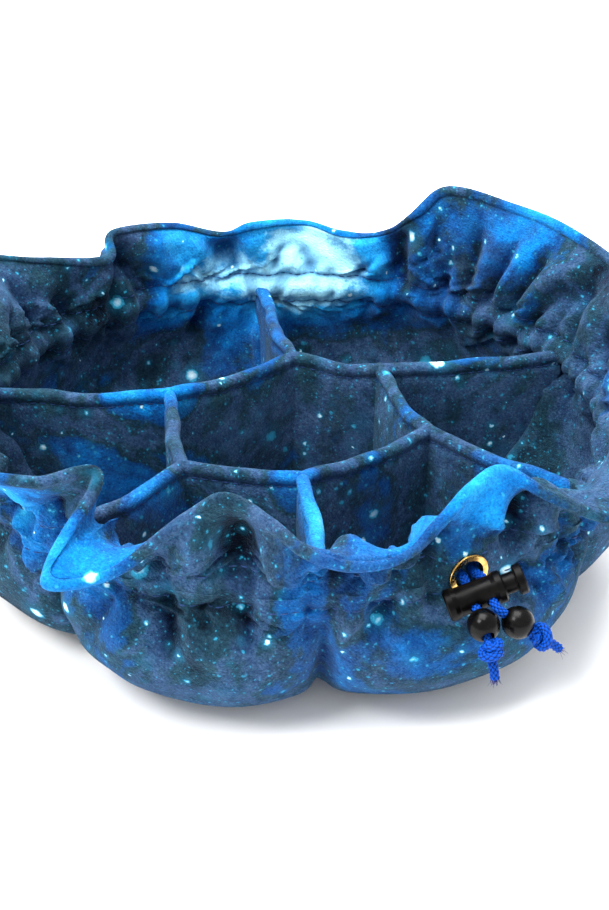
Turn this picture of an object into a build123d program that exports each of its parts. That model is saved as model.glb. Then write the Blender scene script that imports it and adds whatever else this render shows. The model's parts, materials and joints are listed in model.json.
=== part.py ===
"""Drawstring dice bag, standing open like a bowl, with six full lobes.

An outer shell and a lining form one soft bowl. A drawstring runs between them in a stitched
channel and leaves through a brass eyelet, where a spring cord lock, two beads and two knots hang.
Inside, six radial dividers and six centre walls make a centre pocket and six outer pockets.
Millimetres, +Z up, origin on the resting face under the bag's middle, front towards -Y.
"""

import os
from math import asin, cos, degrees, hypot, pi, radians, sin, tan

from build123d import *

# ---------------------------------------------------------------- driving dimensions
SHELL_T = 1.4  # velvet outer shell
LINING_T = 1.4  # velvet lining
POCKET_TOP_Z = 50.0  # hem height of the dividers and centre walls

# Lobed lower wall, from the floor up: height, radius at a lobe's middle, radius at a lobe seam.
LOBED_WALL = [
    (0.0, 78.0, 70.0),
    (5.0, 91.0, 80.0),
    (13.0, 101.0, 88.0),
    (23.0, 107.0, 93.5),
    (31.5, 107.5, 96.5),
    (38.0, 104.0, 98.7),
    (42.5, 101.3, 101.3),
]
# Round upper wall: radius and height of its outer face.
ROUND_WALL = [(101.3, 42.5), (99.6, 49.0), (100.4, 55.0), (103.0, 66.0), (109.5, 80.0)]
SEAM_DEG = [25.0, 97.0, 172.0, 227.0, 275.0, 330.0]  # where each divider meets the wall
CORNERS = [(42.0, 47.0), (40.0, 90.0), (42.0, 162.0), (46.0, 225.0), (40.0, 274.0), (43.0, 345.0)]
SWELL_POWER = 0.75  # below 1, the lobes are fuller than a sine
MIN_SPREAD = 0.01  # lobed and seam radii closer than this make a plain circle

FLOOR_Z = SHELL_T + LINING_T

PLY_T = 2.3  # one of the two plies of a divider or centre wall
PLY_GAP = 0.4  # between the two plies, up to the fold that makes the hem

CHANNEL_Z = 49.0  # drawstring channel
CHANNEL_R = ROUND_WALL[1][0] - SHELL_T
TUNNEL_R = 2.1
CASING_R = 3.4
CORD_D = 2.6

# Brass eyelet and its washer, on a horizontal radial axis.
EYELET_DEG = 297.0
EYELET_HOLE_R = 4.3
EYELET_BARREL_R = 4.65
EYELET_FLANGE_R = 5.9
EYELET_FLANGE_T = 0.6
WASHER_T = 0.5
WASHER_FROM = 1.9  # distance out from the channel's centre line to the washer's inner face
PATCH_R = 6.6  # fabric pulled flat round the eyelet
FREE_PLAY = 0.15

# Cords outside the eyelet. Directions are (azimuth, elevation) in degrees.
EXIT_LATERAL = 1.9  # half the pair's spacing in the eyelet
LOCK_LATERAL = 2.3  # half the pair's spacing in the cord lock
CORD_TURN_R = 2.4  # turn from the channel into the eyelet
LOCK_DIR = (284.0, -15.0)  # the stretch through the lock
LOCK_ROLL_DEG = 20.0  # how far the lock's right end is rolled up
LEFT_END_DIR = (290.0, -68.0)
RIGHT_SWING_DIR = (312.0, -25.0)
RIGHT_BEAD_DIR = (350.0, -31.0)
RIGHT_END_DIR = (20.0, -42.0)
CORNER_OUT = 6.0  # from the channel's centre line to the bend before the lock
CORNER_TO_LOCK = 5.2  # from that bend to the lock's centre

# Spring cord lock. Distances along it are from the middle of its two cord holes.
BODY_LEFT = -9.4
BODY_RIGHT = 6.6
LOCK_END_R = 4.3
LOCK_WAIST_R = 3.9
LOCK_RIM = 0.5  # chamfer at both ends
LOCK_FLARE = (2.0, 3.2)  # the flared ends stop and the waist starts this far in
LOCK_BORE_R = 2.85
LOCK_BORE_L = 13.8
LOCK_HOLE_R = 1.6
STEM_R = 2.75
STEM_L = 10.8  # inside the body at rest
HEAD_R = 4.1
HEAD_T = 2.4
HEAD_GAP = 3.2  # neck that shows between body and head
PRESS = 2.4  # plunger travel
SPRING_R = 2.1
SPRING_WIRE = 0.5
SPRING_TURNS = 4

BEAD_R = 4.3
BEAD_HOLE_R = 1.65
LOCK_TO_LEFT_BEAD = 9.5  # centre to centre
LOCK_TO_SWING = 4.9  # lock centre to the right cord's first bend
SWING_L = 2.3
SWING_TO_RIGHT_BEAD = 5.4
BEAD_TO_END_BEND = 5.8
KNOT_AFTER_BEND = 2.0
KNOT_R = 4.0  # knot's half width
KNOT_HALF_L = 3.3
STUB_L = 9.6  # from the end bend to the cut end


# ---------------------------------------------------------------- small helpers
def direction(azimuth, elevation=0.0):
    """Unit vector at an azimuth about +Z and an elevation above the horizontal, in degrees."""
    a, e = radians(azimuth), radians(elevation)
    return Vector(cos(a) * cos(e), sin(a) * cos(e), sin(e))


def only_solid(shape):
    """The largest solid of a shape, as one clean solid."""
    return max(shape.solids(), key=lambda s: s.volume)


def rod(start, axis, length, radius):
    """A cylinder from a point along an axis."""
    return extrude(Plane(origin=start, z_dir=axis) * Circle(radius), length)


def prism(points, low, high):
    """A vertical prism over a plan outline."""
    outline = Polyline(*[(p.X, p.Y, low) for p in points], close=True)
    return extrude(make_face(outline), high - low, dir=(0, 0, 1))


# ---------------------------------------------------------------- soft bowl
def lobe_spans():
    """Start and end angle of each lobe, in turn."""
    ends = SEAM_DEG[1:] + [SEAM_DEG[0] + 360.0]
    return list(zip(SEAM_DEG, ends))


def wall_section(z, lobe_r, seam_r):
    """One closed level line of the lobed wall, one edge to a lobe."""
    edges = []
    for start, end in lobe_spans():
        points = []
        for quarter in range(5):
            share = quarter / 4
            swell = max(sin(pi * share), 0.0) ** SWELL_POWER
            r = seam_r + (lobe_r - seam_r) * swell
            points.append(direction(start + share * (end - start)) * r + Vector(0, 0, z))
        if lobe_r - seam_r < MIN_SPREAD:
            edges.append(ThreePointArc(points[0], points[2], points[4]))
        else:
            edges.append(Spline(*points))
    return Wire(edges)


def moved_in(points, thickness):
    """A line of (radius, height) points moved towards the bag's inside by a thickness."""
    moved = []
    for k, (r, z) in enumerate(points):
        below, above = points[max(k - 1, 0)], points[min(k + 1, len(points) - 1)]
        run, rise = above[0] - below[0], above[1] - below[1]
        slant = hypot(run, rise)
        moved.append((r - thickness * rise / slant, z + thickness * run / slant))
    return moved


def lobed_part(thickness):
    """The solid inside the lobed wall, moved in by a thickness."""
    lobes = moved_in([(r, z) for z, r, _ in LOBED_WALL], thickness)
    seams = moved_in([(r, z) for z, _, r in LOBED_WALL], thickness)
    rows = [(z, lobe_r, seam_r) for (lobe_r, z), (seam_r, _) in zip(lobes, seams)]
    rows[0] = (thickness, rows[0][1], rows[0][2])
    rows[-1] = (LOBED_WALL[-1][0], LOBED_WALL[-1][1] - thickness, LOBED_WALL[-1][2] - thickness)
    return Solid.make_loft([wall_section(*row) for row in rows])


def round_side(thickness):
    """Half section inside the round upper wall, moved in by a thickness."""
    (low_r, low_z), *middle, (top_r, top_z) = ROUND_WALL
    line = [(low_r - thickness, low_z), *moved_in(ROUND_WALL, thickness)[1:-1], (top_r - thickness, top_z)]
    wall = Spline(*line)
    rest = Polyline(line[-1], (CHANNEL_R - 20, top_z), (CHANNEL_R - 20, low_z), line[0])
    return make_face(Wire([wall, *rest.edges()]))


def disc(radius):
    """Section of a ring round the bag at the channel."""
    return Pos(CHANNEL_R, CHANNEL_Z) * Circle(radius)


def turned(section):
    """A half section turned round the bag's axis."""
    return revolve(Plane.XZ * section, Axis.Z)


def eyelet_rod(start, end, radius):
    """A cylinder on the eyelet's axis, between two distances out from the channel's centre."""
    out = direction(EYELET_DEG)
    origin = out * (CHANNEL_R + start) + Vector(0, 0, CHANNEL_Z)
    return rod(origin, out, end - start, radius)


def make_bowl():
    """Outer shell and lining, each a lobed lower part joined to a round upper part."""
    low = [lobed_part(t) for t in (0.0, SHELL_T, FLOOR_Z)]
    side = [round_side(t) for t in (0.0, SHELL_T, FLOOR_Z)]
    washer_room = eyelet_rod(WASHER_FROM - FREE_PLAY, CASING_R, EYELET_FLANGE_R + FREE_PLAY)
    shell_top = turned(side[0] + disc(CASING_R) - side[1] - disc(TUNNEL_R))
    lining_top = turned(side[1] - (side[2] - disc(CASING_R)) - disc(TUNNEL_R))
    shell_top -= eyelet_rod(0, CASING_R * 2, EYELET_BARREL_R + FREE_PLAY)
    patch = eyelet_rod(WASHER_FROM + WASHER_T + FREE_PLAY, CASING_R, PATCH_R)
    shell_top -= washer_room
    shell_top += patch - eyelet_rod(0, CASING_R * 2, EYELET_BARREL_R + FREE_PLAY)
    lining_top -= washer_room
    lining_top -= patch
    shell = (low[0] - low[1]) + shell_top
    lining = (low[1] - low[2]) + lining_top
    return only_solid(shell), only_solid(lining)


# ---------------------------------------------------------------- pocket walls
def corner_points(offset):
    """The six corners of the centre pocket's outline, moved out by an offset."""
    corners = [direction(a) * r for r, a in CORNERS]
    lines = []
    for k, here in enumerate(corners):
        along = (corners[(k + 1) % 6] - here).normalized()
        outward = Vector(along.Y, -along.X, 0)
        lines.append((here + outward * offset, along))
    moved = []
    for k in range(6):
        (p, u), (q, v) = lines[k - 1], lines[k]
        cross = u.X * v.Y - u.Y * v.X
        gap = q - p
        moved.append(p + u * ((gap.X * v.Y - gap.Y * v.X) / cross))
    return moved


WALL_HALF = PLY_GAP / 2 + PLY_T


def folded_strip(start, end):
    """A strip folded over at its top: two plies, a thin gap between them, and a round hem."""
    along = (end - start).normalized()
    side = Vector(-along.Y, along.X, 0)
    fold_z = POCKET_TOP_Z - WALL_HALF
    height = fold_z - FLOOR_Z
    middle = Pos(0, FLOOR_Z + height / 2)
    section = middle * Rectangle(2 * WALL_HALF, height) + Pos(0, fold_z) * Circle(WALL_HALF)
    section -= middle * Rectangle(PLY_GAP, height)
    return extrude(Plane(origin=start, x_dir=side, z_dir=along) * section, (end - start).length)


def make_centre_wall(k):
    """A folded strip between corner k and the next one, mitred against its neighbours."""
    outer, inner = corner_points(WALL_HALF), corner_points(-WALL_HALF)
    j = (k + 1) % 6
    here, there = [direction(a) * r for r, a in (CORNERS[k], CORNERS[j])]
    reach = (there - here).normalized() * 2 * WALL_HALF
    mitred = prism([inner[k], inner[j], outer[j], outer[k]], FLOOR_Z, POCKET_TOP_Z)
    return only_solid(folded_strip(here - reach, there + reach) & mitred)


def make_divider(k, room):
    """A folded strip from corner k to the wall, at that corner's lobe seam."""
    corner = direction(CORNERS[k][1]) * CORNERS[k][0]
    seam = direction(SEAM_DEG[k]) * (CHANNEL_R + CASING_R)
    centre_pocket = prism(corner_points(WALL_HALF), 0, POCKET_TOP_Z + 1)
    return only_solid((folded_strip(corner, seam) - centre_pocket) & room)


def inside_lining():
    """The room for the dividers: the lobed cavity, and round past the channel above it."""
    round_from = LOBED_WALL[-1][0]
    upper = Cylinder(CHANNEL_R - CASING_R - FREE_PLAY, POCKET_TOP_Z - round_from,
                     align=(Align.CENTER, Align.CENTER, Align.MIN))
    return lobed_part(FLOOR_Z + FREE_PLAY) + Pos(0, 0, round_from) * upper


# ---------------------------------------------------------------- eyelet
def make_eyelet():
    """Flange, rolled lip and barrel."""
    flange = eyelet_rod(CASING_R, CASING_R + EYELET_FLANGE_T, EYELET_FLANGE_R)
    barrel = eyelet_rod(WASHER_FROM, CASING_R + EYELET_FLANGE_T, EYELET_BARREL_R)
    body = flange + barrel - eyelet_rod(0, 20, EYELET_HOLE_R)
    outer_edge = body.edges().filter_by(GeomType.CIRCLE).sort_by(SortBy.RADIUS)[-1]
    return only_solid(fillet(outer_edge, EYELET_FLANGE_T * 0.45))


def make_washer():
    ring = eyelet_rod(WASHER_FROM, WASHER_FROM + WASHER_T, EYELET_FLANGE_R)
    return only_solid(ring - eyelet_rod(0, 20, EYELET_BARREL_R))


# ---------------------------------------------------------------- drawstring
def make_run():
    """The cord's stretch inside the channel, ending at the eyelet's outer face."""
    centre_r = CHANNEL_R + CORD_TURN_R
    centre_lateral = EXIT_LATERAL + CORD_TURN_R
    turn = degrees(asin(centre_lateral / centre_r))
    line_end = centre_r * cos(radians(turn)) - CHANNEL_R
    out, level = direction(EYELET_DEG), Vector(0, 0, CHANNEL_Z)
    edges = []
    for hand in (1, -1):
        side = direction(EYELET_DEG + 90) * hand
        exit_point = out * (CHANNEL_R + CASING_R + EYELET_FLANGE_T) + side * EXIT_LATERAL + level
        bend_start = out * (CHANNEL_R + line_end) + side * EXIT_LATERAL + level
        bend_end = direction(EYELET_DEG + hand * turn) * CHANNEL_R + level
        centre = direction(EYELET_DEG + hand * turn) * centre_r + level
        inward = ((bend_start + bend_end) * 0.5 - centre).normalized()
        edges.append(Line(exit_point, bend_start))
        edges.append(ThreePointArc(bend_start, centre + inward * CORD_TURN_R, bend_end))
    far_side = direction(EYELET_DEG + 180) * CHANNEL_R + level
    starts = [direction(EYELET_DEG + h * turn) * CHANNEL_R + level for h in (1, -1)]
    ring = ThreePointArc(starts[0], far_side, starts[1])
    path = Wire([edges[0], edges[1], ring, edges[3], edges[2]])
    mouth = Plane(origin=edges[0] @ 0, z_dir=edges[0] % 0)
    return only_solid(sweep(mouth * Circle(CORD_D / 2), path=path))


LOCK_AXIS_DIR = direction(*LOCK_DIR)  # the way the cords pass through the lock
LOCK_LEVEL = direction(LOCK_DIR[0] + 90)
LOCK_T = (  # along the lock's barrel, to the right
    LOCK_LEVEL * cos(radians(LOCK_ROLL_DEG))
    + LOCK_LEVEL.cross(LOCK_AXIS_DIR) * -sin(radians(LOCK_ROLL_DEG))
)
BEND_POINT = direction(EYELET_DEG) * (CHANNEL_R + CORNER_OUT) + Vector(0, 0, CHANNEL_Z)
LOCK_CENTRE = BEND_POINT + LOCK_AXIS_DIR * CORNER_TO_LOCK


def tail_points(hand):
    """The bends of one cord tail, from the eyelet's face to its cut end. hand is 1 on the right."""
    side = direction(EYELET_DEG + 90) * hand
    face = direction(EYELET_DEG) * (CHANNEL_R + CASING_R + EYELET_FLANGE_T)
    start = face + side * EXIT_LATERAL + Vector(0, 0, CHANNEL_Z)
    first = BEND_POINT + LOCK_T * hand * LOCK_LATERAL
    centre = LOCK_CENTRE + LOCK_T * hand * LOCK_LATERAL
    if hand < 0:
        last = centre + LOCK_AXIS_DIR * (LOCK_TO_LEFT_BEAD + BEAD_TO_END_BEND)
        return [start, first, last, last + direction(*LEFT_END_DIR) * STUB_L]
    second = centre + LOCK_AXIS_DIR * LOCK_TO_SWING
    third = second + direction(*RIGHT_SWING_DIR) * SWING_L
    last = third + direction(*RIGHT_BEAD_DIR) * (SWING_TO_RIGHT_BEAD + BEAD_TO_END_BEND)
    return [start, first, second, third, last, last + direction(*RIGHT_END_DIR) * STUB_L]


def bend_radii(points):
    """The largest radius each bend's two runs allow, in turn."""
    radii = []
    for a, b, c in zip(points, points[1:], points[2:]):
        turn = radians((b - a).get_angle(c - b))
        shorter = min((b - a).length, (c - b).length)
        radii.append(0.45 * shorter / tan(turn / 2))
    return radii


def make_tail(hand):
    """One free cord tail, from the eyelet's face to its cut end."""
    points = tail_points(hand)
    radii = bend_radii(points)
    print("tail", hand, "bend radii", [round(r, 1) for r in radii])
    path = FilletPolyline(*points, radius=radii)
    start = points[0]
    tube = sweep(Plane(origin=path @ 0, z_dir=path % 0) * Circle(CORD_D / 2), path=path)
    stub_back = rod(start, (start - points[1]).normalized(), CORD_D, CORD_D / 2)
    out = direction(EYELET_DEG)
    tube = only_solid(tube + stub_back - rod(start - out * 2 * CORD_D, out, 2 * CORD_D, 2 * CORD_D))
    print("tail length", round(path.length, 1), "volume share",
          round(tube.volume / (path.length * pi * CORD_D**2 / 4), 3))
    return tube


def bead_place(hand):
    """A bead's centre and the way its hole runs, out along the cord."""
    points = tail_points(hand)
    way = (points[-2] - points[-3]).normalized()
    return points[-2] - way * BEAD_TO_END_BEND, way


def make_bead(hand):
    centre, way = bead_place(hand)
    ball = Plane(origin=centre, z_dir=way) * Sphere(BEAD_R)
    return only_solid(ball - rod(centre - way * BEAD_R * 1.2, way, BEAD_R * 2.4, BEAD_HOLE_R))


def make_knot(hand, tail):
    """The lump of the overhand knot behind the bead, round the cord that it is tied in."""
    points = tail_points(hand)
    way = (points[-1] - points[-2]).normalized()
    place = Plane(origin=points[-2] + way * KNOT_AFTER_BEND, z_dir=way)
    lump = place * Cylinder(KNOT_R, 2 * KNOT_HALF_L)
    lump = fillet(lump.edges().filter_by(GeomType.CIRCLE), KNOT_HALF_L * 0.7)
    centre, bead_way = bead_place(hand)
    behind_bead = rod(centre - bead_way * 20, bead_way, 20 + BEAD_R + FREE_PLAY, 30)
    return only_solid(lump - behind_bead - tail)


# ---------------------------------------------------------------- cord lock
def lock_plane(along=0.0):
    """A plane across the lock's barrel, at a distance right of its centre."""
    return Plane(origin=LOCK_CENTRE + LOCK_T * along, x_dir=LOCK_AXIS_DIR, z_dir=LOCK_T)


def across(along, radius, length=30.0):
    """A hole's cutter across the barrel, the way the cords run."""
    start = LOCK_CENTRE + LOCK_T * along - LOCK_AXIS_DIR * length / 2
    return rod(start, LOCK_AXIS_DIR, length, radius)


def make_lock_body():
    """Waisted barrel, blind bore from the right, and the two cord holes across it."""
    flare, waist = LOCK_FLARE
    left_half = [
        (0, BODY_LEFT), (LOCK_END_R - LOCK_RIM, BODY_LEFT), (LOCK_END_R, BODY_LEFT + LOCK_RIM),
        (LOCK_END_R, BODY_LEFT + flare), (LOCK_WAIST_R, BODY_LEFT + waist),
    ]
    right_half = [(r, BODY_RIGHT - (z - BODY_LEFT)) for r, z in reversed(left_half)]
    outline = left_half + right_half
    profile = Plane.XZ * make_face(Polyline(*outline, close=True))
    barrel = lock_plane() * revolve(profile, Axis.Z)
    bore = rod(LOCK_CENTRE + LOCK_T * (BODY_RIGHT - LOCK_BORE_L), LOCK_T, LOCK_BORE_L + 1, LOCK_BORE_R)
    body = barrel - bore
    for hand in (1, -1):
        body -= across(hand * LOCK_LATERAL, LOCK_HOLE_R)
    return only_solid(body)


def make_plunger():
    """Stem with a slot for both cords, neck, and pressing head."""
    stem = rod(LOCK_CENTRE + LOCK_T * (BODY_RIGHT - STEM_L), LOCK_T, STEM_L + HEAD_GAP, STEM_R)
    head = rod(LOCK_CENTRE + LOCK_T * (BODY_RIGHT + HEAD_GAP), LOCK_T, HEAD_T, HEAD_R)
    head = chamfer(head.edges().filter_by(GeomType.CIRCLE), 0.4)
    slot_from = -LOCK_LATERAL - LOCK_HOLE_R
    slot_to = LOCK_LATERAL + LOCK_HOLE_R + PRESS + FREE_PLAY
    slot_l = slot_to - slot_from
    middle = LOCK_CENTRE + LOCK_T * (slot_from + slot_to) / 2
    plane = Plane(origin=middle - LOCK_AXIS_DIR * 10, x_dir=LOCK_T, z_dir=LOCK_AXIS_DIR)
    slot = extrude(plane * SlotOverall(slot_l, 2 * LOCK_HOLE_R), 20)
    return only_solid(stem + head - slot)


def make_spring():
    """Compression spring between the bore's blind end and the stem."""
    room = LOCK_BORE_L - STEM_L
    height = room - SPRING_WIRE - 0.3
    start = lock_plane(BODY_RIGHT - LOCK_BORE_L + SPRING_WIRE / 2 + 0.15)
    coil = Helix(pitch=height / SPRING_TURNS, height=height, radius=SPRING_R)
    wire = Plane(origin=coil @ 0, z_dir=coil % 0) * Circle(SPRING_WIRE / 2)
    return start * only_solid(sweep(wire, path=coil, is_frenet=True))


# ---------------------------------------------------------------- write the parts
def main():
    os.makedirs("parts", exist_ok=True)
    shell, lining = make_bowl()
    room = inside_lining()
    parts = {"outer_shell": shell, "lining": lining}
    for k in range(6):
        parts[f"divider_{k + 1}"] = make_divider(k, room)
        parts[f"centre_wall_{k + 1}"] = make_centre_wall(k)
    parts["eyelet"] = make_eyelet()
    parts["eyelet_washer"] = make_washer()
    parts["drawstring_run"] = make_run()
    for name, hand in (("left", -1), ("right", 1)):
        tail = make_tail(hand)
        parts[f"drawstring_tail_{name}"] = tail
        parts[f"bead_{name}"] = make_bead(hand)
        parts[f"knot_{name}"] = make_knot(hand, tail)
    parts["lock_body"] = make_lock_body()
    parts["lock_plunger"] = make_plunger()
    parts["lock_spring"] = make_spring()
    for name, shape in parts.items():
        export_step(shape, f"parts/{name}.step")


main()
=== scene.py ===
import json
import math

import bpy
import numpy as np
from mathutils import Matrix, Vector


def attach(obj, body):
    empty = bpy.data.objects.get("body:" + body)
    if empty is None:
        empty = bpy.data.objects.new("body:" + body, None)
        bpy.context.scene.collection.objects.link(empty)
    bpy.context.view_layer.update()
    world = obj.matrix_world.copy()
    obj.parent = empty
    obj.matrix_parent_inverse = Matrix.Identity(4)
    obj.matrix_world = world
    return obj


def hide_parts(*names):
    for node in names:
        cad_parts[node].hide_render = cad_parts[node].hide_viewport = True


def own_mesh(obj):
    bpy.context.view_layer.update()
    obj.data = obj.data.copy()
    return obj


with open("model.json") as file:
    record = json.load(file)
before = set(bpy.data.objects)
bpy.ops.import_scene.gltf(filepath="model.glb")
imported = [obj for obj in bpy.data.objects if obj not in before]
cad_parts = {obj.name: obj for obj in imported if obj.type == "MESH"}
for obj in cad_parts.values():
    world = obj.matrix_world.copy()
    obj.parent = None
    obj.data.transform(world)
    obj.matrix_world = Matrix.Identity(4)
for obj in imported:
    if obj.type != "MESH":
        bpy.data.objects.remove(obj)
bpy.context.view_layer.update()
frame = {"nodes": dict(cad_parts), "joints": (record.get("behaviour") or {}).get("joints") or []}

# Drawstring dice bag, standing open. Lengths in this script are millimetres unless a name says
# otherwise; MM turns them into the frame's metres. Angles are degrees about +Z, 0 along +X.
MM = 0.001
RNG = np.random.default_rng(7)

# ---------- sizes, as in the CAD
SHELL_T = 1.4  # thickness of each layer
LINING_T = 1.4
LOBED_WALL = [  # height, radius at a lobe's middle, radius at a lobe seam
    (0.0, 78.0, 70.0),
    (5.0, 91.0, 80.0),
    (13.0, 101.0, 88.0),
    (23.0, 107.0, 93.5),
    (31.5, 107.5, 96.5),
    (38.0, 104.0, 98.7),
    (42.5, 101.3, 101.3),
    (49.0, 99.6, 99.6),
]
SEAM_DEG = [25.0, 97.0, 172.0, 227.0, 275.0, 330.0]
# Corners of the centre pocket: radius, angle.
CORNERS = [(42.0, 47.0), (40.0, 90.0), (42.0, 162.0), (46.0, 225.0), (40.0, 274.0), (43.0, 345.0)]
SWELL_POWER = 0.75
POCKET_TOP_Z = 50.0
CHANNEL_Z = 49.0
CHANNEL_R = 98.2
CORD_D = 2.6
EYELET_DEG = 297.0

# ---------- the gathered collar
# The rim, round the bag: angle where the cloth leaves the channel, then the rim's own angle,
# radius and height there. The rim's angle runs back on itself where the cloth doubles over.
RIM = [
    (2, 3, 112, 74), (12, 12, 106, 79), (22, 20, 113, 81), (32, 33, 111, 85), (44, 46, 111, 86),
    (56, 60, 106, 88), (64, 64, 97, 81), (71, 71, 102, 70), (80, 80, 100, 69), (89, 88, 104, 71),
    (97, 98, 98, 73), (106, 105, 101, 69), (115, 115, 103, 74), (124, 128, 101, 77),
    (133, 132, 95, 71), (143, 145, 104, 75), (153, 153, 115, 78), (163, 162, 108, 73),
    (173, 172, 116, 77), (184, 183, 109, 73), (195, 195, 117, 76), (206, 205, 110, 71),
    (217, 219, 117, 72), (228, 232, 108, 74), (236, 239, 99, 73), (241, 239, 122, 58),
    (247, 246, 114, 58), (253, 254, 102, 70), (260, 260, 100, 77), (267, 267, 103, 72),
    (274, 272, 107, 66), (281, 279, 108, 62), (287, 286, 105, 62), (292, 292, 102, 68),
    (298, 298, 98, 73), (304, 304, 98, 75), (310, 309, 106, 68), (317, 316, 118, 61),
    (326, 325, 113, 66), (335, 336, 107, 74), (344, 345, 115, 71), (353, 353, 107, 77),
]
COLLAR_LEAN = 1.5  # where the collar heads as it leaves the channel: outwards
COLLAR_RISE = 16.0  # and up
COLUMNS = 252
COLLAR_ROWS = 18
WALL_ROWS = 22
FLOOR_SHARES = (0.06, 0.18, 0.3, 0.42, 0.54, 0.66, 0.77, 0.87, 0.95)  # the floor's rows, from its middle
FINER = 3  # the folds are shaped on this many times the columns


def unit(azimuth):
    """Level unit vector."""
    a = math.radians(azimuth)
    return np.array([math.cos(a), math.sin(a), 0.0])


def straight(v):
    """The vector v at length 1."""
    return v / np.linalg.norm(v)


def hermite(a, b, ma, mb, t):
    """Smooth step from a to b with slopes ma and mb, at share t."""
    t2, t3 = t * t, t * t * t
    return a * (2 * t3 - 3 * t2 + 1) + ma * (t3 - 2 * t2 + t) + b * (3 * t2 - 2 * t3) + mb * (t3 - t2)


def periodic_curve(knots, values, where):
    """Smooth closed curve through values at knots (degrees, rising), sampled at where."""
    knots, values = np.asarray(knots, float), np.asarray(values, float)
    n = len(knots)
    span = np.concatenate([knots - 360, knots, knots + 360])
    data = np.concatenate([values, values, values])
    slope = np.zeros_like(data)
    gap = np.diff(span)[:, None]
    rise = np.diff(data, axis=0) / gap
    slope[1:-1] = (rise[:-1] * gap[1:] + rise[1:] * gap[:-1]) / (gap[:-1] + gap[1:])
    k = np.clip(np.searchsorted(span, where, side="right") - 1, n - 1, 2 * n)
    h = (span[k + 1] - span[k])[:, None]
    t = ((where - span[k])[:, None]) / h
    return hermite(data[k], data[k + 1], slope[k] * h, slope[k + 1] * h, t)


def lobe_swell(theta):
    """0 at each lobe seam and 1 at a lobe's middle, for angles in degrees."""
    theta = np.mod(theta, 360)
    ends = np.array(SEAM_DEG + [SEAM_DEG[0] + 360])
    t = np.where(theta < ends[0], theta + 360, theta)
    k = np.clip(np.searchsorted(ends, t, side="right") - 1, 0, 5)
    share = (t - ends[k]) / (ends[k + 1] - ends[k])
    return np.sin(np.pi * np.clip(share, 0, 1)) ** SWELL_POWER


def wall_radius(theta, z):
    """Radius of the shell's outer face, on the lobed wall and up to the channel."""
    heights = [row[0] for row in LOBED_WALL]
    fine = np.linspace(heights[0], heights[-1], 99)
    lobe = smooth_line(heights, [row[1] for row in LOBED_WALL], fine)
    seam = smooth_line(heights, [row[2] for row in LOBED_WALL], fine)
    at_lobe, at_seam = np.interp(z, fine, lobe), np.interp(z, fine, seam)
    return at_seam + (at_lobe - at_seam) * lobe_swell(theta)


def smooth_line(x, y, where):
    """Monotone cubic through points."""
    x, y = np.asarray(x, float), np.asarray(y, float)
    h = np.diff(x)
    d = np.diff(y) / h
    m = np.zeros_like(y)
    m[0], m[-1] = d[0], d[-1]
    for i in range(1, len(y) - 1):
        if d[i - 1] * d[i] > 0:
            w1, w2 = 2 * h[i] + h[i - 1], h[i] + 2 * h[i - 1]
            m[i] = (w1 + w2) / (w1 / d[i - 1] + w2 / d[i])
    k = np.clip(np.searchsorted(x, where, side="right") - 1, 0, len(h) - 1)
    t = (where - x[k]) / h[k]
    return hermite(y[k], y[k + 1], m[k] * h[k], m[k + 1] * h[k], t)


# ---------- middle surface of the bowl
def wall_heights():
    """Heights of the wall rows, closer together where the wall turns up."""
    share = np.linspace(0, 1, WALL_ROWS)
    return SHELL_T + (CHANNEL_Z - SHELL_T) * share ** 1.35


def first_shape():
    """Grid of the cloth between shell and lining: wall rows, then collar rows."""
    theta = np.arange(COLUMNS) * 360.0 / COLUMNS
    rad = np.radians(theta)
    outward = np.stack([np.cos(rad), np.sin(rad), np.zeros_like(rad)], 1)
    rows = []
    for z in wall_heights():
        r = wall_radius(theta, np.full_like(theta, z - SHELL_T * (z < 8))) - SHELL_T
        rows.append(outward * r[:, None] + [0, 0, z])
    foot = rows[-1]
    places = [unit(angle) * r + [0, 0, z] for _, angle, r, z in RIM]
    rim_at = periodic_curve([row[0] for row in RIM], places, theta)
    lean = foot + outward * COLLAR_LEAN + np.array([0, 0, COLLAR_RISE])
    for k in range(1, COLLAR_ROWS + 1):
        s = k / COLLAR_ROWS
        rows.append((1 - s) ** 2 * foot + 2 * s * (1 - s) * lean + s * s * rim_at)
    return np.stack(rows)


def path_lengths(grid):
    """Mean distance along the cloth from the first row to each row."""
    steps = np.linalg.norm(np.diff(grid, axis=0), axis=2).mean(axis=1)
    return np.concatenate([[0], np.cumsum(steps)])


def grid_faces(rows, columns):
    r, c = np.meshgrid(np.arange(rows - 1), np.arange(columns), indexing="ij")
    n = (c + 1) % columns
    low, high = r * columns, (r + 1) * columns
    return np.stack([low + c, low + n, high + n, high + c], -1).reshape(-1, 4)


# ---------- resampling
def catmull(points, where, closed):
    """Catmull-Rom along axis 0 at fractional indices."""
    n = len(points)
    i = np.floor(where).astype(int)
    t = (where - i)[:, None, None]
    pick = (lambda k: np.mod(k, n)) if closed else (lambda k: np.clip(k, 0, n - 1))
    p0, p1, p2, p3 = (points[pick(i + k)] for k in (-1, 0, 1, 2))
    return 0.5 * (2 * p1 + (p2 - p0) * t + (2 * p0 - 5 * p1 + 4 * p2 - p3) * t ** 2
                  + (3 * p1 - p0 - 3 * p2 + p3) * t ** 3)


def finer_columns(grid, factor):
    where = np.arange(grid.shape[1] * factor) / factor
    return catmull(grid.transpose(1, 0, 2), where, True).transpose(1, 0, 2)


def rows_at(grid, distances, away):
    """Rows of the grid at distances along the cloth, where away is each row's own distance."""
    return catmull(grid, np.interp(distances, away, np.arange(len(away))), False)


def normals_of(grid):
    """Outward unit normals of the wall grid."""
    up = np.gradient(grid, axis=0)
    side = np.roll(grid, -1, axis=1) - np.roll(grid, 1, axis=1)
    n = np.cross(side, up)
    return n / np.maximum(np.linalg.norm(n, axis=2, keepdims=True), 1e-9)


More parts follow.
